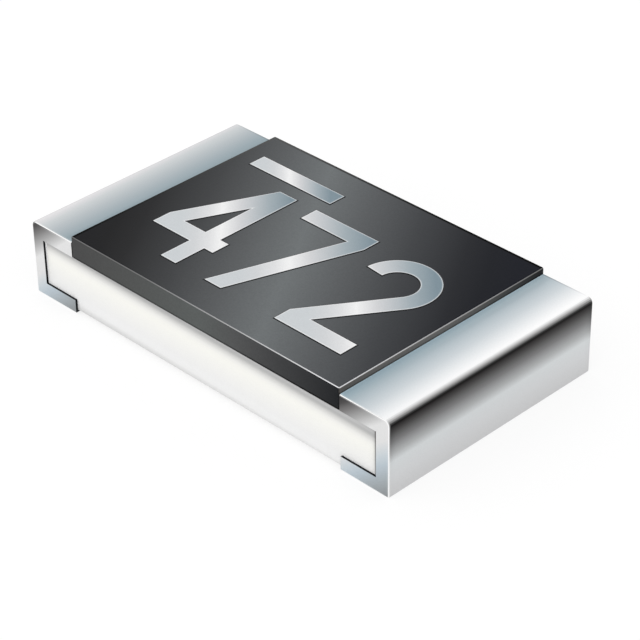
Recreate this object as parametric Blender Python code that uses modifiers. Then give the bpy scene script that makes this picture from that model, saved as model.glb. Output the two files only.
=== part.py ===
# Thick-film chip resistor, 3.1 mm long: an alumina chip with a printed, laser-trimmed resistor
# under a black overcoat, and two plated metal ends that wrap round it.
# X runs along the length, Y across it and Z up. The origin is in the middle of the underside.
# Sizes are in metres, written in micrometres: 3100e-6 is 3.1 mm.
import math
from dataclasses import dataclass, replace

import bmesh
import bpy
from mathutils import Matrix

# Whole chip, over the plated ends and the overcoat
LENGTH = 3100e-6
WIDTH = 1750e-6
HEIGHT = 575e-6

# Black overcoat
OVERCOAT_THICKNESS = 154e-6  # from the ceramic to its flat top
OVERCOAT_RISE = 44e-6  # how far its top stands above the tin beside it
OVERCOAT_EDGE_RADIUS = 12e-6

# Plated ends, as seen from outside
TOP_LAP = 385e-6  # from the end face to the overcoat
BOTTOM_LAP = 380e-6
SIDE_BAND_WIDTH = 100e-6  # the upright strip on the long side
SIDE_BAND_HEIGHT = 101e-6  # the lower strip on the long side
END_TOP_RADIUS = 40e-6
METAL_EDGE_RADIUS = 12e-6

# Layers of a plated end
TIN_THICKNESS = 7e-6
NICKEL_THICKNESS = 4e-6
EDGE_ELECTRODE_END = 12e-6
EDGE_ELECTRODE_SIDE = 2e-6

# Printed electrodes
ELECTRODE_MARGIN = 139e-6  # bare ceramic left along each long edge
TOP_ELECTRODE_THICKNESS = 48e-6
TOP_ELECTRODE_TUCK = 200e-6  # how far it runs in under the overcoat
BOTTOM_ELECTRODE_THICKNESS = 7e-6
PRINT_EDGE_RUN = 72e-6  # length of the sloped edge of a print

# Resistive film and the glass over it
FILM_MARGIN = 145e-6  # how much narrower than the electrodes it is, on each side
FILM_THICKNESS = 20e-6
FILM_OVERLAP = 120e-6  # how far it climbs onto each electrode
GLASS_MARGIN = 40e-6  # how far the glass reaches past the film
GLASS_THICKNESS = 18e-6
PRINT_CORNER_RADIUS = 60e-6  # of the film, seen from above

# Laser trim: a cut in from the film's near edge, then a run along the film
TRIM_WIDTH = 46e-6
TRIM_PLACE = -240e-6
TRIM_DEPTH = 520e-6
TRIM_RUN = 400e-6

CERAMIC_EDGE_RADIUS = 6e-6
SEAT_GAP = 1e-6  # clearance between one layer and the next

# Facets of the round stretches
CORNER_STEPS = 6
RAMP_STEPS = 8
EDGE_SEGMENTS = 3
SHARP_ANGLE = math.radians(45)
WELD = 1e-8


# Scene and materials

def remove_everything():
    for thing in list(bpy.data.objects):
        bpy.data.objects.remove(thing, do_unlink=True)


def new_collection(name):
    made = bpy.data.collections.new(name)
    bpy.context.scene.collection.children.link(made)
    return made


def material(name, colour, roughness, metallic=0.0):
    made = bpy.data.materials.new(name)
    made.use_nodes = True
    shader = made.node_tree.nodes["Principled BSDF"]
    shader.inputs["Base Color"].default_value = (*colour, 1.0)
    shader.inputs["Roughness"].default_value = roughness
    shader.inputs["Metallic"].default_value = metallic
    made.diffuse_color = (*colour, 1.0)
    return made


remove_everything()
PARTS = new_collection("smd_chip_resistor")
CUTTERS = new_collection("cutters")

ALUMINA = material("alumina", (0.87, 0.85, 0.79), 0.6)
BLACK_EPOXY = material("black_epoxy", (0.018, 0.018, 0.020), 0.38)
BRIGHT_TIN = material("bright_tin", (0.78, 0.80, 0.82), 0.24, 1.0)
NICKEL = material("nickel", (0.60, 0.56, 0.50), 0.30, 1.0)
PRINTED_SILVER = material("printed_silver", (0.74, 0.73, 0.70), 0.48, 1.0)
RUTHENIUM_OXIDE = material("ruthenium_oxide", (0.035, 0.037, 0.042), 0.55)
GREEN_GLASS = material("green_glass", (0.06, 0.20, 0.13), 0.12)


# Modelling helpers

def add_object(name, mesh, collection, finish):
    thing = bpy.data.objects.new(name, mesh)
    collection.objects.link(thing)
    if finish:
        mesh.materials.append(finish)
    if collection is CUTTERS:
        thing.hide_render = True
        thing.display_type = "WIRE"
    mesh.shade_smooth()
    mesh.set_sharp_from_angle(angle=SHARP_ANGLE)
    return thing


def box(name, low, high, collection, finish=None):
    """A box between its lowest and highest corners."""
    size = [b - a for a, b in zip(low, high)]
    middle = [(a + b) / 2 for a, b in zip(low, high)]
    bm = bmesh.new()
    bmesh.ops.create_cube(bm, size=1.0)
    bmesh.ops.scale(bm, vec=size, verts=bm.verts)
    bmesh.ops.translate(bm, vec=middle, verts=bm.verts)
    mesh = bpy.data.meshes.new(name)
    bm.to_mesh(mesh)
    bm.free()
    return add_object(name, mesh, collection, finish)


UPRIGHT = Matrix.Rotation(math.pi / 2, 4, "X")  # makes an outline in X and Y one in X and Z
FLAT = Matrix.Identity(4)


def extruded(name, outline, half_depth, collection, finish=None, turn=UPRIGHT):
    """A flat outline, extruded to both sides and made a mesh, so that it can be cut."""
    curve = bpy.data.curves.new(name, "CURVE")
    curve.dimensions = "2D"
    curve.fill_mode = "BOTH"
    curve.extrude = half_depth
    spline = curve.splines.new("POLY")
    spline.points.add(len(outline) - 1)
    for point, (across, along) in zip(spline.points, outline):
        point.co = (across, along, 0.0, 1.0)
    spline.use_cyclic_u = True
    drawn = bpy.data.objects.new(name, curve)
    CUTTERS.objects.link(drawn)
    evaluated = drawn.evaluated_get(bpy.context.evaluated_depsgraph_get())
    mesh = bpy.data.meshes.new_from_object(evaluated)
    bpy.data.objects.remove(drawn)
    mesh.transform(turn)
    bm = bmesh.new()
    bm.from_mesh(mesh)
    bmesh.ops.remove_doubles(bm, verts=bm.verts, dist=WELD)
    bmesh.ops.dissolve_limit(bm, angle_limit=0.001, verts=bm.verts, edges=bm.edges)
    bmesh.ops.recalc_face_normals(bm, faces=bm.faces)
    bm.to_mesh(mesh)
    bm.free()
    mesh.name = name
    return add_object(name, mesh, collection, finish)


def combine(thing, other, operation):
    step = thing.modifiers.new(other.name, "BOOLEAN")
    step.operation = operation
    step.solver = "EXACT"
    step.object = other


def cut(thing, *cutters):
    for cutter in cutters:
        combine(thing, cutter, "DIFFERENCE")


def keep(thing, guide):
    """Keeps only what lies inside the guide."""
    combine(thing, guide, "INTERSECT")


def soften(thing, radius, wanted):
    """Rounds the sharp edges of the mesh for which wanted says yes."""
    bm = bmesh.new()
    bm.from_mesh(thing.data)
    weight = bm.edges.layers.float.new("bevel_weight_edge")
    for edge in bm.edges:
        sharp = edge.calc_face_angle() > SHARP_ANGLE
        edge[weight] = 1.0 if sharp and wanted(edge) else 0.0
    bm.to_mesh(thing.data)
    bm.free()
    step = thing.modifiers.new("soften", "BEVEL")
    step.width = radius
    step.segments = EDGE_SEGMENTS
    step.limit_method = "WEIGHT"


def middle(edge):
    first, last = (vert.co for vert in edge.verts)
    return (first + last) / 2


def is_upright(edge):
    first, last = (vert.co for vert in edge.verts)
    return (first - last).xy.length < WELD


# Where the layers lie, from the outside in

@dataclass(frozen=True)
class Wrap:
    """The outside of one layer of a plated end, for the end at +X."""

    end: float  # x of the end face
    side: float  # y of the long side face
    top: float  # z of the pad on top
    bottom: float  # z of the pad on the underside
    top_lap: float  # x where the pad on top stops
    bottom_lap: float  # x where the pad on the underside stops
    band: float  # x where the upright strip on the long side stops
    strip: float  # z where the lower strip on the long side stops
    shoulder: float  # z down to which the side of the top pad reaches
    corner: float  # radius of the top outer corner

    def beneath(self, depth):
        """The outside of what this layer covers."""
        return replace(
            self,
            end=self.end - depth,
            side=self.side - depth,
            top=self.top - depth,
            bottom=self.bottom + depth,
            bottom_lap=self.bottom_lap + depth,
            band=self.band + depth,
            strip=self.strip - depth,
            corner=max(self.corner - depth, WELD),
        )

    def space(self):
        """What the next layer out leaves free for this one."""
        grown = self.beneath(-SEAT_GAP)
        top_lap = self.top_lap - SEAT_GAP
        return replace(grown, top_lap=top_lap, shoulder=self.shoulder - SEAT_GAP)

    def outline(self, sign):
        """The C-shaped section in X and Z, with its top outer corner as an arc."""
        points = [(self.end, self.bottom)]
        for step in range(CORNER_STEPS + 1):
            angle = math.pi / 2 * step / CORNER_STEPS
            x = self.end - self.corner * (1 - math.cos(angle))
            z = self.top - self.corner * (1 - math.sin(angle))
            points.append((x, z))
        points += [
            (self.top_lap, self.top),
            (self.top_lap, self.shoulder),
            (self.band, self.shoulder),
            (self.band, self.strip),
            (self.bottom_lap, self.strip),
            (self.bottom_lap, self.bottom),
        ]
        return [(sign * x, z) for x, z in points]


OVERCOAT_END = LENGTH / 2 - TOP_LAP
OVERCOAT_BOTTOM = HEIGHT - OVERCOAT_THICKNESS
CERAMIC_TOP = OVERCOAT_BOTTOM - SEAT_GAP

TIN_OUTSIDE = Wrap(
    end=LENGTH / 2,
    side=WIDTH / 2,
    top=HEIGHT - OVERCOAT_RISE,
    bottom=0.0,
    top_lap=OVERCOAT_END + SEAT_GAP,
    bottom_lap=LENGTH / 2 - BOTTOM_LAP,
    band=LENGTH / 2 - SIDE_BAND_WIDTH,
    strip=SIDE_BAND_HEIGHT,
    shoulder=CERAMIC_TOP,
    corner=END_TOP_RADIUS,
)
NICKEL_OUTSIDE = TIN_OUTSIDE.beneath(TIN_THICKNESS + SEAT_GAP)
EDGE_OUTSIDE = NICKEL_OUTSIDE.beneath(NICKEL_THICKNESS + SEAT_GAP)

CERAMIC_END = EDGE_OUTSIDE.end - EDGE_ELECTRODE_END - SEAT_GAP
CERAMIC_SIDE = EDGE_OUTSIDE.side - EDGE_ELECTRODE_SIDE - SEAT_GAP
CERAMIC_BOTTOM = EDGE_OUTSIDE.bottom + BOTTOM_ELECTRODE_THICKNESS + SEAT_GAP

ELECTRODE_SIDE = CERAMIC_SIDE - ELECTRODE_MARGIN
ELECTRODE_TIP = OVERCOAT_END - TOP_ELECTRODE_TUCK
ELECTRODE_STEP = TOP_ELECTRODE_THICKNESS + SEAT_GAP

PRINT_BASE = CERAMIC_TOP + SEAT_GAP
FILM_SIDE = ELECTRODE_SIDE - FILM_MARGIN
FILM_END = ELECTRODE_TIP + FILM_OVERLAP
GLASS_SIDE = FILM_SIDE + GLASS_MARGIN
GLASS_END = FILM_END + GLASS_MARGIN
GLASS_HEIGHT = FILM_THICKNESS + SEAT_GAP + GLASS_THICKNESS


# Ceramic

def make_ceramic():
    low = (-CERAMIC_END, -CERAMIC_SIDE, CERAMIC_BOTTOM)
    high = (CERAMIC_END, CERAMIC_SIDE, CERAMIC_TOP)
    chip = box("ceramic_substrate", low, high, PARTS, ALUMINA)
    soften(chip, CERAMIC_EDGE_RADIUS, lambda edge: True)
    low = [place - SEAT_GAP for place in low]
    high = [place + SEAT_GAP for place in high]
    return box("ceramic_space", low, high, CUTTERS)


# Printed electrodes

def ramp(x, foot):
    """How far up a print's sloped edge x is, from 0 to 1, with a soft foot and brow."""
    share = min(max((abs(x) - foot) / PRINT_EDGE_RUN, 0.0), 1.0)
    return share * share * (3 - 2 * share)


def top_electrode_outline(sign, gap=0.0):
    """The section of a top electrode in X and Z, or of the space that it needs."""
    foot = ELECTRODE_TIP - gap
    end = CERAMIC_END + gap
    top = PRINT_BASE + TOP_ELECTRODE_THICKNESS + gap
    points = [(end, PRINT_BASE - gap), (end, top)]
    for step in range(RAMP_STEPS, 0, -1):
        x = foot + PRINT_EDGE_RUN * step / RAMP_STEPS
        points.append((x, PRINT_BASE + gap + TOP_ELECTRODE_THICKNESS * ramp(x, foot)))
    if gap:
        points.append((foot, PRINT_BASE + gap))
    points.append((foot, PRINT_BASE - gap))
    return [(sign * x, z) for x, z in points]


def make_top_electrode(side, sign):
    name = "top_electrode_" + side
    extruded(name, top_electrode_outline(sign), ELECTRODE_SIDE, PARTS, PRINTED_SILVER)
    outline = top_electrode_outline(sign, SEAT_GAP)
    return extruded(name + "_space", outline, ELECTRODE_SIDE + SEAT_GAP, CUTTERS)


def bottom_electrode_box(name, sign, gap, collection, finish=None):
    near = sign * (EDGE_OUTSIDE.bottom_lap - gap)
    far = sign * (CERAMIC_END + gap)
    side = ELECTRODE_SIDE + gap
    low = (min(near, far), -side, EDGE_OUTSIDE.bottom - gap)
    high = (max(near, far), side, EDGE_OUTSIDE.bottom + BOTTOM_ELECTRODE_THICKNESS + gap)
    return box(name, low, high, collection, finish)


def make_bottom_electrode(side, sign):
    name = "bottom_electrode_" + side
    bottom_electrode_box(name, sign, 0.0, PARTS, PRINTED_SILVER)
    return bottom_electrode_box(name + "_space", sign, SEAT_GAP, CUTTERS)


# Resistive film, the glass over it, and the laser's cut through both

def coat_outline(height, gap):
    """The section of a coat that lies on the ceramic and climbs both electrodes, drawn too long."""
    foot = ELECTRODE_TIP - height * math.tan(math.pi / 8)
    floor = PRINT_BASE - gap
    top = PRINT_BASE + height + gap
    half = [(LENGTH, floor), (LENGTH, top + ELECTRODE_STEP)]
    for step in range(RAMP_STEPS, -1, -1):
        x = foot + PRINT_EDGE_RUN * step / RAMP_STEPS
        half.append((x, top + ELECTRODE_STEP * ramp(x, foot)))
    mirrored = [(-x, z) for x, z in reversed(half)]
    return [*half, *mirrored]


def coat(name, end, side, height, corner, gap, collection, finish=None):
    """A round-cornered block that keeps only what lies in the coat's section."""
    low = (-end - gap, -side - gap, PRINT_BASE - HEIGHT)
    high = (end + gap, side + gap, PRINT_BASE + HEIGHT)
    made = box(name, low, high, collection, finish)
    soften(made, corner + gap, is_upright)
    keep(made, extruded(name + "_section", coat_outline(height, gap), WIDTH, CUTTERS))
    return made


def film_coat(name, gap, collection, finish=None):
    size = (FILM_END, FILM_SIDE, FILM_THICKNESS, PRINT_CORNER_RADIUS)
    return coat(name, *size, gap, collection, finish)


def glass_coat(name, gap, collection, finish=None):
    size = (GLASS_END, GLASS_SIDE, GLASS_HEIGHT, PRINT_CORNER_RADIUS + GLASS_MARGIN)
    return coat(name, *size, gap, collection, finish)


def trim_outline(gap):
    """The laser's path seen from above, its width less a gap on each side."""
    half = TRIM_WIDTH / 2 - gap
    start = -GLASS_SIDE - TRIM_WIDTH
    turn = -FILM_SIDE + TRIM_DEPTH
    tip = TRIM_PLACE + TRIM_RUN
    points = [(TRIM_PLACE - half, start), (TRIM_PLACE + half, start)]
    points.append((TRIM_PLACE + half, turn - half))
    for step in range(CORNER_STEPS + 1):
        angle = math.pi * (step / CORNER_STEPS - 0.5)
        points.append((tip + half * math.cos(angle), turn + half * math.sin(angle)))
    for step in range(CORNER_STEPS + 1):
        angle = math.pi / 2 * (1 + step / CORNER_STEPS)
        points.append((TRIM_PLACE + half * math.cos(angle), turn + half * math.sin(angle)))
    return points


def make_trim(name, gap):
    return extruded(name, trim_outline(gap), HEIGHT, CUTTERS, turn=FLAT)


def make_film_and_glass(spaces, trim):
    film = film_coat("resistor_film", 0.0, PARTS, RUTHENIUM_OXIDE)
    cut(film, *spaces, trim)
    glass = glass_coat("glass_passivation", 0.0, PARTS, GREEN_GLASS)
    cut(glass, film_coat("film_space", SEAT_GAP, CUTTERS), *spaces, trim)


# Overcoat, whose underside fits the prints and fills the laser's cut

def make_overcoat(electrode_spaces):
    pocket = glass_coat("overcoat_pocket", SEAT_GAP, CUTTERS)
    cut(pocket, make_trim("trim_filling", SEAT_GAP))
    low = (-OVERCOAT_END, -WIDTH / 2, OVERCOAT_BOTTOM)
    high = (OVERCOAT_END, WIDTH / 2, HEIGHT)
    slab = box("overcoat", low, high, PARTS, BLACK_EPOXY)
    soften(slab, OVERCOAT_EDGE_RADIUS, lambda edge: middle(edge).z > OVERCOAT_BOTTOM + WELD)
    cut(slab, pocket, *electrode_spaces)


# Plated ends

def wrap(name, sign, outside, collection, finish=None):
    return extruded(name, outside.outline(sign), outside.side, collection, finish)


def is_outer_edge(edge):
    """Whether an edge of the tin is on its outside, away from the ceramic and the overcoat."""
    place = middle(edge)
    on_end = abs(place.x) > TIN_OUTSIDE.end - TIN_OUTSIDE.corner
    on_top = place.z > TIN_OUTSIDE.top - WELD
    on_underside = place.z < TIN_OUTSIDE.bottom + WELD
    at_overcoat = on_top and abs(place.x) < TIN_OUTSIDE.top_lap + WELD
    return (on_end or on_top or on_underside) and not at_overcoat


def make_end(side, sign, ceramic_space, top_electrode_space):
    bottom_electrode_space = make_bottom_electrode(side, sign)

    edge_electrode = wrap("edge_electrode_" + side, sign, EDGE_OUTSIDE, PARTS, PRINTED_SILVER)
    cut(edge_electrode, ceramic_space, top_electrode_space, bottom_electrode_space)

    edge_space = wrap("edge_electrode_space_" + side, sign, EDGE_OUTSIDE.space(), CUTTERS)
    nickel = wrap("nickel_barrier_" + side, sign, NICKEL_OUTSIDE, PARTS, NICKEL)
    cut(nickel, edge_space, ceramic_space)

    nickel_space = wrap("nickel_space_" + side, sign, NICKEL_OUTSIDE.space(), CUTTERS)
    tin = wrap("tin_termination_" + side, sign, TIN_OUTSIDE, PARTS, BRIGHT_TIN)
    soften(tin, METAL_EDGE_RADIUS, is_outer_edge)
    cut(tin, nickel_space, ceramic_space)


def build():
    ceramic_space = make_ceramic()
    ends = {"left": -1, "right": 1}
    electrode_spaces = {side: make_top_electrode(side, sign) for side, sign in ends.items()}
    both = list(electrode_spaces.values())
    make_film_and_glass(both, make_trim("trim", 0.0))
    make_overcoat(both)
    for side, sign in ends.items():
        make_end(side, sign, ceramic_space, electrode_spaces[side])


build()
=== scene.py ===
import math

import bmesh
import bpy
from mathutils import Matrix, Vector


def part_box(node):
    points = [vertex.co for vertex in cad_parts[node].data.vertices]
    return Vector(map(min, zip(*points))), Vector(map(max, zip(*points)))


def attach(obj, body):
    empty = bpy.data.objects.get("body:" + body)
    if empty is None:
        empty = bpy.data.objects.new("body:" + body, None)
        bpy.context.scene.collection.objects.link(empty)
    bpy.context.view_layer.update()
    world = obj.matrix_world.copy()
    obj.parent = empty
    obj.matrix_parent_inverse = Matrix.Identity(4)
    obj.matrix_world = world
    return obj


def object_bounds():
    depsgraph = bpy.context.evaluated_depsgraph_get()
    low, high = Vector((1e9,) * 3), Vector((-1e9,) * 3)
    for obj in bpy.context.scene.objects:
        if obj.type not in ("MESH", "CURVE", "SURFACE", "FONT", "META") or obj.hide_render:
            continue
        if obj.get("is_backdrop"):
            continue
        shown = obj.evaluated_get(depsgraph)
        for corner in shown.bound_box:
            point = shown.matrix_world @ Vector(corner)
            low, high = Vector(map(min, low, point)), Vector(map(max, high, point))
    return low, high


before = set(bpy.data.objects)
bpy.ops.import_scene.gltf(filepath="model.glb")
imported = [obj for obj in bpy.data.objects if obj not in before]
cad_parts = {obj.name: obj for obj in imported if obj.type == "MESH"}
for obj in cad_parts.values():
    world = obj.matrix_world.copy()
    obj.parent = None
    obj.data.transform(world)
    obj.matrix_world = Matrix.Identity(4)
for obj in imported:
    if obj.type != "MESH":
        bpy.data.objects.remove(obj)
CAD_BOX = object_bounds()

# Places taken from the solids
TIN_LOW, TIN_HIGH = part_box("tin_termination_right")
COAT_LOW, COAT_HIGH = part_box("overcoat")
CHIP_LOW, CHIP_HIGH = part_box("ceramic_substrate")
BAND_WIDTH = 0.100e-3  # the upright of the C-shaped tin band on a long side

# Camera. It looks at the middle of the underside, moved sideways and up in the picture by the aim.
CAMERA_AZIMUTH = math.radians(45.65)
CAMERA_ELEVATION = math.radians(33.57)
CAMERA_ROLL = math.radians(-0.90)
CAMERA_DISTANCE = 14.868e-3
CAMERA_AIM = (87.2e-6, 62.3e-6)
CAMERA_LENS = 134.6
SENSOR = 36.0

# Studio
FLOOR_RADIUS = 0.25
FLOOR_SIDES = 96
FLOOR_GAP = 2e-6
FLOOR_COLOUR = (0.80, 0.80, 0.80)
FLOOR_SHADE = 0.28  # the share of the floor's look that takes shadows
FLOOR_GLOW = 1.10
SKY = 0.845
KEY_POWER = 0.90
KEY_AZIMUTH = math.radians(-5.0)  # from the chip's near side, towards its left end
KEY_ELEVATION = math.radians(30.0)
KEY_WIDTH = math.radians(90.0)
CLIP_START, CLIP_END = CAMERA_DISTANCE / 20, 4 * FLOOR_RADIUS

# Marking: three digits and a bar, in strokes of one width
INK_HEIGHT = 4e-6
INK_SINK = 0.5e-6
INK_EDGE = 18e-6  # its inner half takes a painted highlight, and its outer half is a dark rim of painted shadow outside the drawn stroke
INK_EDGE_STEPS = 4
MERGE_DISTANCE = 1e-7
ARC_STEPS = 40
STROKE = 0.130e-3
DIGIT_WIDTH = 0.540e-3
DIGIT_HEIGHT = 1.025e-3
DIGIT_FOOT = -0.635e-3
DIGIT_MIDDLES = (-0.660e-3, -0.020e-3, 0.668e-3)
FOUR_BAR_FOOT = 0.235e-3
FOUR_STEM_INSET = 0.075e-3  # from the right end of the bar
FOUR_SLOPE_RISE = 0.010e-3  # of the slope's foot, over the bar
FOUR_SLOPE_GAP = 0.020e-3  # between the slope's top and the stem
SEVEN_FOOT = 0.225e-3  # the right corner of the stroke's foot
TWO_START, TWO_END = math.radians(175), math.radians(-35)  # where its arc runs from and to
BAR_LEFT, BAR_FOOT = -1.012e-3, 0.504e-3
BAR_LENGTH, BAR_WIDTH = 0.728e-3, 0.126e-3
BAR_SWEEP = 0.89  # how soon the bar's painted sheen tones end, as a share of its length

# Limits between which a look comes in
NOISE_LIMITS = (0.3, 0.7)
FACE_LIMITS = (0.3, 0.7)  # of the normal, or of its square, on a surface that turns to face some way
LEAN_LIMITS = (0.1, 0.4)  # of the normal, on a surface that begins to lean some way
FLAT_LIMITS = (0.9, 0.99)  # of the normal's upward part, on a surface that is all but flat
LINE_BLUR = 6e-6  # the soft side of a painted line, about a pixel wide

# Grain of each surface: the size of its spots, the factors on the colour, and the depth of its relief
TIN_GRAIN, TIN_MOTTLE, TIN_RELIEF = 9e-6, (0.97, 1.03), 0.15e-6
CHIP_GRAIN, CHIP_MOTTLE, CHIP_RELIEF = 8e-6, (0.985, 1.01), 0.4e-6
COAT_GRAIN, COAT_MOTTLE, COAT_RELIEF = 10e-6, (0.93, 1.07), 0.2e-6
INK_GRAIN, INK_MOTTLE, INK_RELIEF = 6e-6, (0.96, 1.04), 0.1e-6
LAYER_GRAIN, LAYER_MOTTLE, LAYER_RELIEF = 14e-6, (0.85, 1.0), 0.5e-6

# The tin's looks, whose tones are painted reflections, highlights and shade. Tones are places from 0 to
# 1, each with its colour.
# Painted reflection: a pad's tones run from blue-grey at the overcoat to near white at its outer edge
RIGHT_PAD_TONES = (
    (0.00, (0.328, 0.430, 0.487)),
    (0.06, (0.358, 0.456, 0.512)),
    (0.13, (0.406, 0.495, 0.540)),
    (0.20, (0.430, 0.505, 0.547)),
    (0.50, (0.622, 0.668, 0.697)),
    (0.80, (0.895, 0.905, 0.915)),
    (0.92, (0.990, 0.990, 0.990)),
)
LEFT_PAD_TONES = (
    (0.20, (0.320, 0.393, 0.430)),
    (0.35, (0.382, 0.441, 0.474)),
    (0.56, (0.486, 0.528, 0.552)),
    (0.77, (0.612, 0.639, 0.652)),
    (0.87, (0.716, 0.716, 0.731)),
    (1.00, (0.840, 0.820, 0.830)),
)
PAD_SLANT = 0.022  # how far the lines of one tone of the painted reflection lean along the chip, for each step across it
PAD_FAR_LINE = 20e-6  # the width of the rim at a pad's far edge, where shade is painted near the overcoat
PAD_FAR_SHADE = 0.50
# Painted reflection over the roll and the end: pale tones turn black under the roll, then silver further
# down
ROLL_POWER = 0.75
ROLL_LIMITS = (0.03, 0.93)  # where a pad's tones give way to its end's, over the roll between them
END_TONES = (
    (0.00, (0.575, 0.575, 0.58)),
    (0.28, (0.63, 0.64, 0.65)),
    (0.46, (0.64, 0.665, 0.675)),
    (0.57, (0.41, 0.42, 0.425)),
    (0.72, (0.185, 0.185, 0.188)),
    (0.79, (0.108, 0.108, 0.108)),
    (0.85, (0.052, 0.050, 0.050)),
    (0.90, (0.015, 0.013, 0.013)),
    (0.92, (0.002, 0.001, 0.001)),
)
END_EDGE = 70e-6  # the width of the stretch that darkens with painted shade towards an end's upright edge
END_EDGE_HEIGHTS = (0.4, 0.95)  # of the end, between which that stretch grows darker
END_EDGE_SHARES = (0.05, 0.6)
# Painted reflection on the C-shaped band: a sweep from dark at its upper left, through pale, to
# blue-grey at its lower right
SIDE_TONES = (
    (0.00, (0.020, 0.019, 0.019)),
    (0.08, (0.075, 0.071, 0.072)),
    (0.155, (0.217, 0.212, 0.212)),
    (0.24, (0.42, 0.42, 0.42)),
    (0.30, (0.60, 0.60, 0.60)),
    (0.35, (0.77, 0.77, 0.77)),
    (0.50, (0.755, 0.755, 0.755)),
    (0.63, (0.58, 0.64, 0.68)),
    (0.70, (0.49, 0.56, 0.615)),
    (0.86, (0.36, 0.395, 0.415)),
    (1.00, (0.26, 0.27, 0.28)),
)
SIDE_SLANT = 0.36  # how much of the sweep goes along, and the rest goes down
SIDE_LEAD = 8e-6  # how far the left band's sweep is ahead of the right one's
UNDERSIDE_TONE = (0.62, 0.64, 0.66)
# Painted highlight: the white line round a long side of the tin, the pale line on the ceramic and the
# ink's bright edge
PAINTED_HIGHLIGHT_TONE = (1.00, 1.00, 1.00)
ARRIS_LIMITS = (0.03, 0.22)
UPRIGHT_LIMITS = (0.05, 0.15)  # of the normal's square along the chip, on an upright edge
UPRIGHT_HEIGHTS = (0.4, 0.9)  # of the tin, between which the upright edges turn dark with painted shade
# Painted shade: the near black of the recesses, the upright edges and an end's edges
PAINTED_SHADE_TONE = (0.010, 0.011, 0.013)
SEAM_WIDTH = 0.22  # of a pad, beside the overcoat
SEAM_POWER = 8.0
SEAM_GAIN = 1.80  # painted light: lifts the colour right beside the overcoat, to make up for the shade there
TIN_ROUGHNESS, TIN_GRAIN_ADDS, SEAM_ADDS = 0.30, 0.08, 0.25

# The ceramic's looks, with painted shade and highlight lines on its long sides
# Painted shade: a long side darkens at its foot and under the overcoat, with a faint painted highlight
# at its very top
CHIP_TONES = (
    (0.00, (0.68, 0.68, 0.68)),
    (0.10, (0.86, 0.86, 0.86)),
    (0.17, (0.87, 0.87, 0.87)),
    (0.26, (0.86, 0.86, 0.855)),
    (0.65, (0.93, 0.925, 0.88)),
    (0.72, (0.91, 0.905, 0.865)),
    (0.775, (0.85, 0.845, 0.82)),
    (0.85, (0.66, 0.655, 0.64)),
    (0.90, (0.49, 0.49, 0.485)),
    (0.93, (0.47, 0.47, 0.47)),
    (0.955, (0.53, 0.53, 0.53)),
)
CHIP_SLANT = 0.012  # how far the painted shade under the overcoat comes down, for each step to the right
CHIP_FACE_TONE = (0.87, 0.86, 0.81)
BAND_SHADE_WIDTH = 40e-6  # of the painted shadow beside the right band
BAND_SHADE = 0.75
# Painted shadow: the dark line on the ceramic beside the right band
SHADOW_LINE_TONE = (0.035, 0.03, 0.027)
SHADOW_LINE_EDGES = (9e-6, 5e-6)  # of the soft side of the painted dark line beside the right band
SHADOW_LINE_HEIGHTS = (0.15, 1.0)  # of the ceramic, between which that line grows darker
SHADOW_LINE_SHARES = (0.5, 1.0)
PALE_EDGES = (14e-6, 8e-6)  # of the soft side of the painted highlight line beside the left band

# The overcoat's looks: painted sheen, highlight lines and shade
SHEEN_ALONG, SHEEN_ACROSS = 0.84, 0.54  # the direction in which the painted sheen's tones run
SHEEN_REACH = 1.35e-3
SHEEN_SHIFT = 50e-6  # of its middle, towards the near left corner
# Painted sheen: grey across the top's middle, near black towards its ends
COAT_TONES = (
    (0.00, (0.152, 0.164, 0.167)),
    (0.25, (0.097, 0.102, 0.105)),
    (0.50, (0.049, 0.051, 0.053)),
    (0.75, (0.016, 0.016, 0.017)),
    (0.87, (0.008, 0.008, 0.009)),
    (1.00, (0.006, 0.006, 0.008)),
)
COAT_BLUE = (-0.0012, 0.0000, 0.0035)  # what the top's painted sheen tones gain on their way to its far right corner
# Painted sheen along a long wall, lightest near its middle
COAT_WALL_TONES = (
    (0.00, (0.057, 0.057, 0.057)),
    (0.25, (0.073, 0.076, 0.075)),
    (0.50, (0.094, 0.102, 0.100)),
    (0.63, (0.076, 0.078, 0.079)),
    (0.76, (0.047, 0.048, 0.050)),
    (0.89, (0.025, 0.026, 0.028)),
    (1.00, (0.008, 0.009, 0.011)),
)
# Painted sheen on an end wall: brownish, lightest near its middle, near black at its far side
COAT_END_TONES = (
    (0.00, (0.112, 0.105, 0.098)),
    (0.18, (0.145, 0.137, 0.131)),
    (0.45, (0.160, 0.153, 0.147)),
    (0.64, (0.122, 0.118, 0.114)),
    (0.82, (0.062, 0.062, 0.062)),
    (1.00, (0.012, 0.012, 0.013)),
)
WALL_FOOT_LINE = 14e-6  # the painted shade line at the foot of a long wall
WALL_FOOT_DEPTHS = (0.45, 1.0)  # of that line, at the wall's middle and at its right end
END_FOOT_LINE = 14e-6  # the painted shade at the foot of an end wall
END_FOOT_SHADE = 0.3
COAT_FAR_LINE = 30e-6  # the width of the dark line of painted shade along the top's far edges
# Painted shade on the top's far edges and on the far side of its arris
COAT_FAR_TONES = (
    (0.00, (0.100, 0.100, 0.100)),
    (0.14, (0.060, 0.060, 0.060)),
    (0.30, (0.020, 0.020, 0.020)),
    (0.42, (0.004, 0.004, 0.004)),
    (1.00, (0.001, 0.001, 0.001)),
)
# Painted highlight on the near arris, brightest at the near corner
COAT_ARRIS_TONES = (
    (0.53, (0.15, 0.15, 0.15)),
    (0.60, (0.18, 0.18, 0.18)),
    (0.80, (0.42, 0.42, 0.425)),
    (0.92, (0.62, 0.62, 0.63)),
    (1.00, (0.75, 0.75, 0.77)),
)
COAT_ARRIS_LIMITS = (0.10, 0.22)
COAT_ROUGHNESS, COAT_GRAIN_ADDS, COAT_RIM_ADDS = 0.36, 0.1, 0.5

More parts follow.
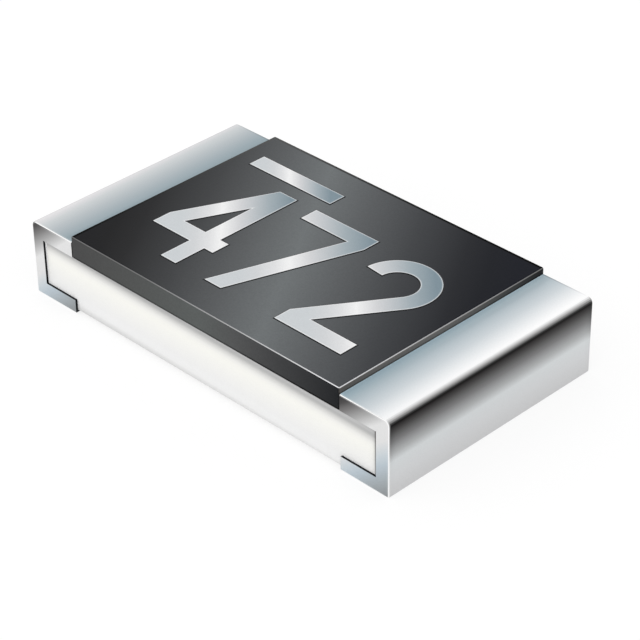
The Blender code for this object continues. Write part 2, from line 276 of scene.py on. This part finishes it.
# The ink's looks: painted sheen, highlight and shadow
# Painted sheen: the silver ink runs from blue-grey through near white to steel blue across each mark
INK_TONES = (
    (0.20, (0.600, 0.630, 0.650)),
    (0.30, (0.640, 0.655, 0.670)),
    (0.40, (0.745, 0.750, 0.760)),
    (0.48, (0.885, 0.885, 0.885)),
    (0.60, (0.650, 0.655, 0.670)),
    (0.80, (0.350, 0.410, 0.445)),
    (0.95, (0.200, 0.270, 0.315)),
)
INK_BRIGHT_LIMITS = (0.9995, 0.9985)  # of the normal's upward part, on the inner half of the edge, which takes the painted highlight
INK_BRIGHT_SHARE = 0.5
# Painted shadow: the dark rim round each mark
INK_RIM_TONE = (0.008, 0.008, 0.009)
INK_RIM_LIMITS = (0.99, 0.98)  # of the normal's upward part, on the outer half of the edge


# Node trees

class Shader:
    """A material's node tree, with one short call for each kind of step."""

    def __init__(self, name):
        self.material = bpy.data.materials.new(name)
        self.material.use_nodes = True
        self.tree = self.material.node_tree
        self.surface = self.tree.nodes["Principled BSDF"]
        self.place = self.step("TexCoord", output="Object")
        self.x, self.y, self.z = self.axes(self.place)
        self.facing = self.axes(self.step("TexCoord", output="Normal"))

    def feed(self, socket, value):
        if isinstance(value, bpy.types.NodeSocket):
            self.tree.links.new(value, socket)
        else:
            socket.default_value = value

    def step(self, kind, *inputs, named=None, output=None, **settings):
        """Adds a node, with its inputs in order or by name, and returns its output."""
        made = self.tree.nodes.new("ShaderNode" + kind)
        for name, value in settings.items():
            setattr(made, name, value)
        usable = [socket for socket in made.inputs if socket.enabled]
        for socket, value in zip(usable, inputs):
            self.feed(socket, value)
        for name, value in (named or {}).items():
            self.feed(made.inputs[name], value)
        return made.outputs[output] if output else next(s for s in made.outputs if s.enabled)

    def axes(self, vector):
        made = self.tree.nodes.new("ShaderNodeSeparateXYZ")
        self.feed(made.inputs[0], vector)
        return tuple(made.outputs)

    def math(self, operation, *values):
        return self.step("Math", *values, operation=operation)

    def times(self, first, second):
        return self.math("MULTIPLY", first, second)

    def square(self, value):
        return self.times(value, value)

    def rest(self, share):
        """What a share leaves of 1."""
        return self.math("SUBTRACT", 1.0, share)

    def edge(self, share):
        """Highest where a share is halfway between 0 and 1, as on the edge between two faces."""
        return self.times(share, self.rest(share))

    def weigh(self, *pairs):
        """The sum of some values, each times its factor."""
        total = 0.0
        for value, factor in pairs:
            total = self.math("MULTIPLY_ADD", value, factor, total)
        return total

    def between(self, value, low, high, first=0.0, last=1.0):
        """The first number at low, the last one at high, and straight in between."""
        return self.step("MapRange", value, low, high, first, last)

    def blend(self, share, first, second):
        return self.step("Mix", share, opaque(first), opaque(second), data_type="RGBA")

    def tint(self, share, colour, factors):
        """Multiplies a colour, by a factor that goes from one to the other."""
        factor = self.between(share, 0.0, 1.0, *factors)
        return self.step("VectorMath", colour, factor, operation="SCALE")

    def ramp(self, value, tones):
        made = self.tree.nodes.new("ShaderNodeValToRGB")
        points = made.color_ramp.elements
        while len(points) < len(tones):
            points.new(1.0)
        for point, (place, colour) in zip(points, tones):
            point.position = place
            point.color = opaque(colour)
        self.feed(made.inputs[0], value)
        return made.outputs[0]

    def noise(self, size, detail=3.0):
        """Noise from 0 to 1, with spots of about a size."""
        place = self.step("Mapping", named={"Vector": self.place, "Scale": (1.0 / size,) * 3})
        spots = self.step("TexNoise", named={"Vector": place, "Scale": 1.0, "Detail": detail})
        return self.between(spots, *NOISE_LIMITS)

    def finish(self, height, depth, **values):
        """Sets the surface's values, and gives it a relief of some depth."""
        values["Normal"] = self.step("Bump", named={"Height": height, "Distance": depth})
        for name, value in values.items():
            self.feed(self.surface.inputs[name.replace("_", " ")], value)
        return self.material


def opaque(colour):
    return colour if isinstance(colour, bpy.types.NodeSocket) else (*colour, 1.0)


# Tin

def tin_pad(tin, on_left):
    """The top of a pad: a painted reflection, blue-grey at the overcoat and pale at the edge, with
    painted shade on its far rim.
    """
    leaning = tin.math("ABSOLUTE", tin.weigh((tin.x, 1.0), (tin.y, PAD_SLANT)))
    outwards = tin.between(leaning, COAT_HIGH.x, TIN_HIGH.x)
    colour = tin.blend(on_left, tin.ramp(outwards, RIGHT_PAD_TONES), tin.ramp(outwards, LEFT_PAD_TONES))
    far = TIN_HIGH.y - PAD_FAR_LINE
    shade = tin.times(tin.between(tin.y, far, far + LINE_BLUR), tin.rest(outwards))
    return tin.tint(shade, colour, (1.0, PAD_FAR_SHADE))


def tin_end(tin):
    """The end: a painted reflection, black under the roll and silver below it, and painted shade towards
    its upright edges.
    """
    height = tin.between(tin.z, TIN_LOW.z, TIN_HIGH.z)
    outwards = tin.between(tin.math("ABSOLUTE", tin.y), TIN_HIGH.y - END_EDGE, TIN_HIGH.y)
    share = tin.between(height, *END_EDGE_HEIGHTS, *END_EDGE_SHARES)
    dark = tin.times(share, tin.square(outwards))
    return tin.blend(dark, tin.ramp(height, END_TONES), PAINTED_SHADE_TONE)


def tin_side(tin):
    """The C-shaped band: one sweep of painted reflection tones from its upper left to its lower right.
    """
    lap = TIN_HIGH.x - COAT_HIGH.x
    lead = TIN_HIGH.x + SIDE_LEAD
    on_right = tin.math("GREATER_THAN", tin.x, 0.0)
    from_left = tin.weigh((tin.x, 1.0), (on_right, -lead - COAT_HIGH.x), (1.0, lead))
    fall = 1.0 - SIDE_SLANT
    sweep = tin.weigh((from_left, SIDE_SLANT / lap), (tin.z, -fall / TIN_HIGH.z), (1.0, fall))
    return tin.ramp(sweep, SIDE_TONES)


def tin_arris(tin, to_end, on_left):
    """The line round a long side: a painted highlight, but painted shade up the edges of the left end
    and of the far side.
    """
    far = tin.math("MAXIMUM", on_left, tin.math("GREATER_THAN", tin.facing[1], 0.0))
    upright = tin.times(far, tin.between(to_end, *UPRIGHT_LIMITS))
    low, high = UPRIGHT_HEIGHTS
    shadow = tin.times(upright, tin.between(tin.z, low * TIN_HIGH.z, high * TIN_HIGH.z))
    return tin.blend(shadow, PAINTED_HIGHLIGHT_TONE, PAINTED_SHADE_TONE)


def tin_recess(tin):
    """1 on the edges that look to the chip's middle and on the step inside a band's foot, which are
    painted dark as shade, else 0.
    """
    across, _, up = tin.facing
    low, high = FACE_LIMITS
    inwards = tin.between(tin.times(across, tin.math("SIGN", tin.x)), -low, -high)
    lower_half = tin.math("LESS_THAN", tin.z, TIN_HIGH.z / 2)
    return tin.math("MAXIMUM", inwards, tin.times(tin.between(up, low, high), lower_half))


def tin_colour(tin):
    """A plated end from all sides: its faces' painted reflections, the highlight line round a long side
    and the recesses painted dark as shade.
    """
    across, along, up = tin.facing
    to_end, to_side = tin.square(across), tin.square(along)
    on_left = tin.math("LESS_THAN", tin.x, 0.0)
    rolled = tin.between(tin.math("POWER", to_end, ROLL_POWER), *ROLL_LIMITS)
    colour = tin.blend(rolled, tin_pad(tin, on_left), tin_end(tin))
    colour = tin.blend(tin.between(up, 0.0, -1.0), colour, UNDERSIDE_TONE)
    colour = tin.blend(tin.between(to_side, *FACE_LIMITS), colour, tin_side(tin))
    line = tin.between(tin.edge(to_side), *ARRIS_LIMITS)
    colour = tin.blend(line, colour, tin_arris(tin, to_end, on_left))
    return tin.blend(tin_recess(tin), colour, PAINTED_SHADE_TONE)


def make_tin():
    """Bright tin with painted reflections and shade, and a dull seam where a pad meets the overcoat,
    painted lighter there.
    """
    tin = Shader("bright_tin")
    outwards = tin.between(tin.math("ABSOLUTE", tin.x), COAT_HIGH.x, TIN_HIGH.x)
    flat = tin.between(tin.facing[2], *FLAT_LIMITS)
    dull = tin.times(tin.between(outwards, SEAM_WIDTH, SEAM_WIDTH / 2), flat)
    closeness = tin.math("POWER", tin.between(outwards, SEAM_WIDTH, 0.0), SEAM_POWER)
    grain = tin.noise(TIN_GRAIN)
    colour = tin.tint(grain, tin_colour(tin), TIN_MOTTLE)
    # Painted light beside the overcoat, against the shade of its wall
    colour = tin.tint(tin.times(closeness, flat), colour, (1.0, SEAM_GAIN))
    roughness = tin.weigh((grain, TIN_GRAIN_ADDS), (dull, SEAM_ADDS), (1.0, TIN_ROUGHNESS))
    look = {"Metallic": tin.rest(dull), "Roughness": roughness, "Specular_IOR_Level": 0.05}
    return tin.finish(grain, TIN_RELIEF, Base_Color=colour, **look)


# Ceramic

def chip_side(chip):
    """A long side: painted shade at its top and foot, a painted shadow and dark line by the right band,
    and a painted highlight by the left one.
    """
    height = chip.between(chip.z, CHIP_LOW.z, CHIP_HIGH.z)
    slanted = chip.weigh((chip.z, 1.0), (chip.x, CHIP_SLANT))
    colour = chip.ramp(chip.between(slanted, CHIP_LOW.z, CHIP_HIGH.z), CHIP_TONES)
    band = TIN_HIGH.x - BAND_WIDTH
    # The right band stands proud of the ceramic, and hides a strip as wide as that from the near corner
    right = band - (TIN_HIGH.y - CHIP_HIGH.y)
    # Painted shadow on the ceramic beside the right band
    shade = chip.between(chip.x, right - BAND_SHADE_WIDTH, right)
    colour = chip.tint(chip.square(shade), colour, (1.0, BAND_SHADE))
    # Painted shadow line beside the right band, darker towards the top
    start, end = SHADOW_LINE_EDGES
    shadow_line = chip.between(height, *SHADOW_LINE_HEIGHTS, *SHADOW_LINE_SHARES)
    shadow_line = chip.times(shadow_line, chip.between(chip.x, right - start, right - end))
    colour = chip.blend(shadow_line, colour, SHADOW_LINE_TONE)
    # Painted highlight line beside the left band
    start, end = PALE_EDGES
    return chip.blend(chip.between(chip.x, start - band, end - band), colour, PAINTED_HIGHLIGHT_TONE)


def make_alumina():
    """White fired ceramic with a fine grain, and painted shade and highlight lines on its long sides."""
    chip = Shader("alumina")
    to_side = chip.square(chip.facing[1])
    grain = chip.noise(CHIP_GRAIN)
    colour = chip.tint(grain, chip.blend(to_side, CHIP_FACE_TONE, chip_side(chip)), CHIP_MOTTLE)
    look = {"Roughness": 0.6, "Specular_IOR_Level": 0.2}
    return chip.finish(grain, CHIP_RELIEF, Base_Color=colour, **look)


# Overcoat

def coat_rim(epoxy):
    """1 at the top's far edges, and 0 further in."""
    side, end = COAT_HIGH.y - COAT_FAR_LINE, COAT_LOW.x + COAT_FAR_LINE
    far_side = epoxy.between(epoxy.y, side, side + LINE_BLUR)
    far_end = epoxy.between(epoxy.x, end, end - LINE_BLUR)
    upwards = epoxy.between(epoxy.facing[2], *LEAN_LIMITS)
    return epoxy.times(epoxy.math("MAXIMUM", far_side, far_end), upwards)


def coat_top(epoxy, nearness):
    """The top: a painted grey sheen on a slant across its middle, and a line of painted shade at its far
    edges that darkens.
    """
    sheen = epoxy.weigh((epoxy.x, SHEEN_ALONG), (epoxy.y, SHEEN_ACROSS), (1.0, SHEEN_SHIFT))
    colour = epoxy.ramp(epoxy.between(epoxy.math("ABSOLUTE", sheen), 0.0, SHEEN_REACH), COAT_TONES)
    rightwards = epoxy.between(sheen, -SHEEN_REACH, SHEEN_REACH)
    gain = epoxy.step("VectorMath", COAT_BLUE, rightwards, operation="SCALE")
    colour = epoxy.step("VectorMath", colour, gain, operation="ADD")
    return epoxy.blend(coat_rim(epoxy), colour, epoxy.ramp(nearness, COAT_FAR_TONES))


def coat_wall(epoxy):
    """A long wall: one sweep of painted sheen along it, over a painted shade line that is darkest at its
    right end.
    """
    colour = epoxy.ramp(epoxy.between(epoxy.x, COAT_LOW.x, COAT_HIGH.x), COAT_WALL_TONES)
    line = COAT_LOW.z + WALL_FOOT_LINE
    depth = epoxy.between(epoxy.x, 0.0, COAT_HIGH.x, *WALL_FOOT_DEPTHS)
    foot = epoxy.times(depth, epoxy.between(epoxy.z, line, line - LINE_BLUR / 2))
    return epoxy.tint(foot, colour, (1.0, 0.0))


def coat_end(epoxy):
    """The low wall at an end: a brownish painted sheen, darker at its foot with painted shade."""
    colour = epoxy.ramp(epoxy.between(epoxy.y, COAT_LOW.y, COAT_HIGH.y), COAT_END_TONES)
    foot = epoxy.between(epoxy.z, TIN_HIGH.z + END_FOOT_LINE, TIN_HIGH.z)
    return epoxy.tint(foot, colour, (1.0, END_FOOT_SHADE))


def coat_arris(epoxy, nearness):
    """The line where the top meets the walls: a painted highlight at the near corner, and painted shade
    on the far side.
    """
    across, along, _ = epoxy.facing
    low, high = LEAN_LIMITS
    far = epoxy.math("MAXIMUM", epoxy.between(along, low, high), epoxy.between(across, -low, -high))
    return epoxy.blend(far, epoxy.ramp(nearness, COAT_ARRIS_TONES), epoxy.ramp(nearness, COAT_FAR_TONES))


def coat_colour(epoxy):
    """The overcoat from all sides: its walls, its top and the line between them, with painted sheen,
    highlights and shade.
    """
    to_end, flat = epoxy.square(epoxy.facing[0]), epoxy.square(epoxy.facing[2])
    reach = COAT_HIGH.x + COAT_HIGH.y
    nearness = epoxy.between(epoxy.weigh((epoxy.x, 1.0), (epoxy.y, -1.0)), -reach, reach)
    colour = epoxy.blend(epoxy.between(to_end, *FACE_LIMITS), coat_wall(epoxy), coat_end(epoxy))
    colour = epoxy.blend(epoxy.between(flat, *FACE_LIMITS), colour, coat_top(epoxy, nearness))
    line = epoxy.between(epoxy.edge(flat), *COAT_ARRIS_LIMITS)
    return epoxy.blend(line, colour, coat_arris(epoxy, nearness))


def make_epoxy():
    """Black epoxy with a fine grain, which is rougher at the top's far edges."""
    epoxy = Shader("black_epoxy")
    grain = epoxy.noise(COAT_GRAIN)
    rim = coat_rim(epoxy)
    colour = epoxy.tint(grain, coat_colour(epoxy), COAT_MOTTLE)
    roughness = epoxy.weigh((grain, COAT_GRAIN_ADDS), (rim, COAT_RIM_ADDS), (1.0, COAT_ROUGHNESS))
    look = {"Roughness": roughness, "Specular_IOR_Level": 0.05}
    return epoxy.finish(grain, COAT_RELIEF, Base_Color=colour, **look)


# Ink and inner layers

def make_ink(name, low, high):
    """Silver ink with a painted sheen whose tone runs on a slant across a mark, with a painted highlight
    edge and a painted shadow rim.
    """
    ink = Shader(name)
    place = ink.weigh((ink.x, 1.0), (ink.y, 1.0))
    colour = ink.ramp(ink.between(place, low, high), INK_TONES)
    up = ink.facing[2]
    # Painted highlight on the edge's inner half, and painted shadow on its outer half
    bright = ink.times(ink.between(up, *INK_BRIGHT_LIMITS), INK_BRIGHT_SHARE)
    colour = ink.blend(bright, colour, PAINTED_HIGHLIGHT_TONE)
    colour = ink.blend(ink.between(up, *INK_RIM_LIMITS), colour, INK_RIM_TONE)
    grain = ink.noise(INK_GRAIN, detail=2.0)
    colour = ink.tint(grain, colour, INK_MOTTLE)
    return ink.finish(grain, INK_RELIEF, Base_Color=colour, Metallic=0.7, Roughness=0.4)


def make_layer(name, colour, roughness, metallic=0.0):
    """A fired or plated layer under the skin, with a fine mottle."""
    layer = Shader(name)
    grain = layer.noise(LAYER_GRAIN)
    mottled = layer.tint(grain, colour, LAYER_MOTTLE)
    return layer.finish(grain, LAYER_RELIEF, Base_Color=mottled, Metallic=metallic, Roughness=roughness)


def dress_nodes():
    """Gives each solid its finish, and like solids the same one."""
    silver = make_layer("printed_silver", (0.72, 0.71, 0.68), roughness=0.5, metallic=1.0)
    finishes = {
        "ceramic_substrate": make_alumina(),
        "resistor_film": make_layer("ruthenium_oxide", (0.035, 0.037, 0.042), roughness=0.55),
        "glass_passivation": make_layer("green_glass", (0.06, 0.20, 0.13), roughness=0.12),
        "overcoat": make_epoxy(),
        "top_electrode": silver,
        "bottom_electrode": silver,
        "edge_electrode": silver,
        "nickel_barrier": make_layer("nickel", (0.50, 0.47, 0.43), roughness=0.35, metallic=1.0),
        "tin_termination": make_tin(),
    }
    for name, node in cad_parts.items():
        kind = name.removesuffix("_left").removesuffix("_right")
        for slot in node.material_slots:
            slot.material = finishes[kind]


# Marking

def four():
    """The outlines of a 4, from the lower left of its box: the figure and its eye."""
    bar_foot, bar_top = FOUR_BAR_FOOT, FOUR_BAR_FOOT + STROKE
    stem_left = DIGIT_WIDTH - FOUR_STEM_INSET - STROKE
    stem_right = stem_left + STROKE
    slope_foot = Vector((0.0, bar_top + FOUR_SLOPE_RISE))
    slope_top = Vector((stem_left - FOUR_SLOPE_GAP, DIGIT_HEIGHT))
    slope = (slope_top - slope_foot).normalized()
    inner = slope_foot + STROKE * Vector((slope.y, -slope.x))
    rise = slope.y / slope.x
    figure = [(0.0, bar_foot), (stem_left, bar_foot), (stem_left, 0.0), (stem_right, 0.0)]
    figure += [(stem_right, bar_foot), (DIGIT_WIDTH, bar_foot), (DIGIT_WIDTH, bar_top)]
    figure += [(stem_right, bar_top), (stem_right, DIGIT_HEIGHT), slope_top, slope_foot]
    eye_left = inner.x + (bar_top - inner.y) / rise
    eye_top = inner.y + (stem_left - inner.x) * rise
    return figure, [(stem_left, bar_top), (stem_left, eye_top), (eye_left, bar_top)]


def seven():
    """The outline of a 7: a bar on top of a slanted stroke."""
    bar_foot = DIGIT_HEIGHT - STROKE
    lean = (DIGIT_WIDTH - SEVEN_FOOT) / bar_foot
    width = STROKE * math.hypot(1.0, lean)
    figure = [(0.0, DIGIT_HEIGHT), (DIGIT_WIDTH, DIGIT_HEIGHT), (DIGIT_WIDTH, bar_foot)]
    figure += [(SEVEN_FOOT, 0.0), (SEVEN_FOOT - width, 0.0)]
    figure += [(DIGIT_WIDTH - width, bar_foot), (0.0, bar_foot)]
    return (figure,)


def two():
    """The outline of a 2: an arc that runs into a slanted stroke, on a bar."""
    outer = DIGIT_WIDTH / 2
    middle = Vector((outer, DIGIT_HEIGHT - outer))

    def arc(radius):
        angles = [TWO_START + (TWO_END - TWO_START) * step / ARC_STEPS for step in range(ARC_STEPS + 1)]
        return [middle + radius * Vector((math.cos(a), math.sin(a))) for a in angles]

    outside, inside = arc(outer), arc(outer - STROKE)
    lean = math.tan(-TWO_END)
    corner = outside[-1].x - lean * (outside[-1].y - STROKE)
    left = inside[-1].y - inside[-1].x / lean
    foot = [(corner, STROKE), (DIGIT_WIDTH, STROKE), (DIGIT_WIDTH, 0.0), (0.0, 0.0), (0.0, left)]
    return (outside + foot + inside[::-1],)


def bar():
    return ([(0.0, 0.0), (BAR_LENGTH, 0.0), (BAR_LENGTH, BAR_WIDTH), (0.0, BAR_WIDTH)],)


def drawn_mesh(outlines):
    """A filled drawing with rounded edges, whose caps are still loose."""
    curve = bpy.data.curves.new("drawn", "CURVE")
    curve.dimensions = "2D"
    curve.fill_mode = "BOTH"
    curve.bevel_depth = INK_EDGE
    curve.bevel_resolution = INK_EDGE_STEPS
    curve.offset = -INK_EDGE / 2
    for outline in outlines:
        spline = curve.splines.new("POLY")
        spline.points.add(len(outline) - 1)
        for point, (across, along) in zip(spline.points, outline):
            point.co = (across, along, 0.0, 1.0)
        spline.use_cyclic_u = True
    drawn = bpy.data.objects.new("drawn", curve)
    bpy.context.scene.collection.objects.link(drawn)
    evaluated = drawn.evaluated_get(bpy.context.evaluated_depsgraph_get())
    mesh = bpy.data.meshes.new_from_object(evaluated)
    bpy.data.objects.remove(drawn)
    return mesh


def printed_mesh(outlines, left, foot):
    """A drawing as a thin, closed print on the overcoat, with a stepped edge and a flat, sunk base."""
    mesh = drawn_mesh(outlines)
    bm = bmesh.new()
    bm.from_mesh(mesh)
    bmesh.ops.remove_doubles(bm, verts=bm.verts, dist=MERGE_DISTANCE)
    bmesh.ops.recalc_face_normals(bm, faces=bm.faces)
    for vert in bm.verts:
        height = vert.co.z * INK_HEIGHT / INK_EDGE
        vert.co = (left + vert.co.x, foot + vert.co.y, COAT_HIGH.z + max(height, -INK_SINK))
    bm.to_mesh(mesh)
    bm.free()
    mesh.shade_flat()
    return mesh


def add_mark(name, outlines, left, foot, sweep=1.0):
    """Adds a print whose painted sheen tones run from its lower left over a share of its reach, the
    sweep.
    """
    mesh = printed_mesh(outlines, left, foot)
    places = [vert.co.x + vert.co.y for vert in mesh.vertices]
    low = min(places)
    high = low + sweep * (max(places) - low)
    mesh.materials.append(make_ink("silver_ink_" + name, low, high))
    mark = bpy.data.objects.new(name, mesh)
    bpy.context.scene.collection.objects.link(mark)
    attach(mark, "root")


def make_marking():
    for number, (digit, middle) in enumerate(zip((four, seven, two), DIGIT_MIDDLES), 1):
        add_mark("marking_digit_" + str(number), digit(), middle - DIGIT_WIDTH / 2, DIGIT_FOOT)
    add_mark("marking_bar", bar(), BAR_LEFT, BAR_FOOT, BAR_SWEEP)


# Studio

def turned(azimuth, elevation):
    """The turn of a camera or lamp that looks at the chip from a direction."""
    turn = Matrix.Rotation(azimuth, 4, "Z")
    return turn @ Matrix.Rotation(math.pi / 2 - elevation, 4, "X")


def make_camera():
    data = bpy.data.cameras.new("camera")
    data.lens = CAMERA_LENS
    data.sensor_width = SENSOR
    data.clip_start = CLIP_START
    data.clip_end = CLIP_END
    camera = bpy.data.objects.new("camera", data)
    bpy.context.scene.collection.objects.link(camera)
    roll = Matrix.Rotation(CAMERA_ROLL, 4, "Z")
    aim = Matrix.Translation((*CAMERA_AIM, CAMERA_DISTANCE))
    camera.matrix_world = turned(CAMERA_AZIMUTH, CAMERA_ELEVATION) @ roll @ aim
    bpy.context.scene.camera = camera


def seen_straight(tree):
    """1 for rays from the camera, off metal or through glass, and 0 for the rest."""
    path = tree.nodes.new("ShaderNodeLightPath")
    share = path.outputs["Is Camera Ray"]
    for name in ("Is Glossy Ray", "Is Transmission Ray"):
        either = tree.nodes.new("ShaderNodeMath")
        either.operation = "MAXIMUM"
        tree.links.new(share, either.inputs[0])
        tree.links.new(path.outputs[name], either.inputs[1])
        share = either.outputs[0]
    return share


def make_sky():
    """White for what is seen, and a soft light for the rest."""
    world = bpy.data.worlds.new("sky")
    world.use_nodes = True
    tree = world.node_tree
    strength = tree.nodes.new("ShaderNodeMapRange")
    tree.links.new(seen_straight(tree), strength.inputs["Value"])
    strength.inputs["To Min"].default_value = SKY
    strength.inputs["To Max"].default_value = 1.0
    background = tree.nodes["Background"]
    background.inputs["Color"].default_value = (1.0, 1.0, 1.0, 1.0)
    tree.links.new(strength.outputs[0], background.inputs["Strength"])
    bpy.context.scene.world = world


def floor_material():
    """White where it is seen, less the shadow that its paint takes."""
    material = bpy.data.materials.new("floor")
    material.use_nodes = True
    tree = material.node_tree
    tree.nodes.clear()
    paint = tree.nodes.new("ShaderNodeBsdfDiffuse")
    paint.inputs["Color"].default_value = (*FLOOR_COLOUR, 1.0)
    glow = tree.nodes.new("ShaderNodeEmission")
    glow.inputs["Strength"].default_value = FLOOR_GLOW
    share = tree.nodes.new("ShaderNodeMath")
    share.operation = "MULTIPLY"
    tree.links.new(seen_straight(tree), share.inputs[0])
    share.inputs[1].default_value = 1.0 - FLOOR_SHADE
    mix = tree.nodes.new("ShaderNodeMixShader")
    tree.links.new(share.outputs[0], mix.inputs[0])
    tree.links.new(paint.outputs[0], mix.inputs[1])
    tree.links.new(glow.outputs[0], mix.inputs[2])
    out = tree.nodes.new("ShaderNodeOutputMaterial")
    tree.links.new(mix.outputs[0], out.inputs["Surface"])
    return material


def make_floor():
    bm = bmesh.new()
    bmesh.ops.create_circle(bm, cap_ends=True, segments=FLOOR_SIDES, radius=FLOOR_RADIUS)
    bmesh.ops.translate(bm, vec=(0.0, 0.0, CAD_BOX[0].z - FLOOR_GAP), verts=bm.verts)
    mesh = bpy.data.meshes.new("floor")
    bm.to_mesh(mesh)
    bm.free()
    mesh.materials.append(floor_material())
    floor = bpy.data.objects.new("floor", mesh)
    bpy.context.scene.collection.objects.link(floor)
    floor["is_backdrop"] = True


def make_key_lamp():
    """A wide, weak lamp. Reflections leave it out, so that the tin doesn't burn out from behind."""
    data = bpy.data.lights.new("key", "SUN")
    data.energy = KEY_POWER
    data.angle = KEY_WIDTH
    lamp = bpy.data.objects.new("key", data)
    lamp.visible_glossy = False
    bpy.context.scene.collection.objects.link(lamp)
    lamp.matrix_world = turned(KEY_AZIMUTH, KEY_ELEVATION)


make_camera()
make_sky()
make_floor()
make_key_lamp()
dress_nodes()
make_marking()
bpy.context.scene.view_settings.view_transform = "Standard"

[[list(corner) for corner in box] for box in (CAD_BOX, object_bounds())]
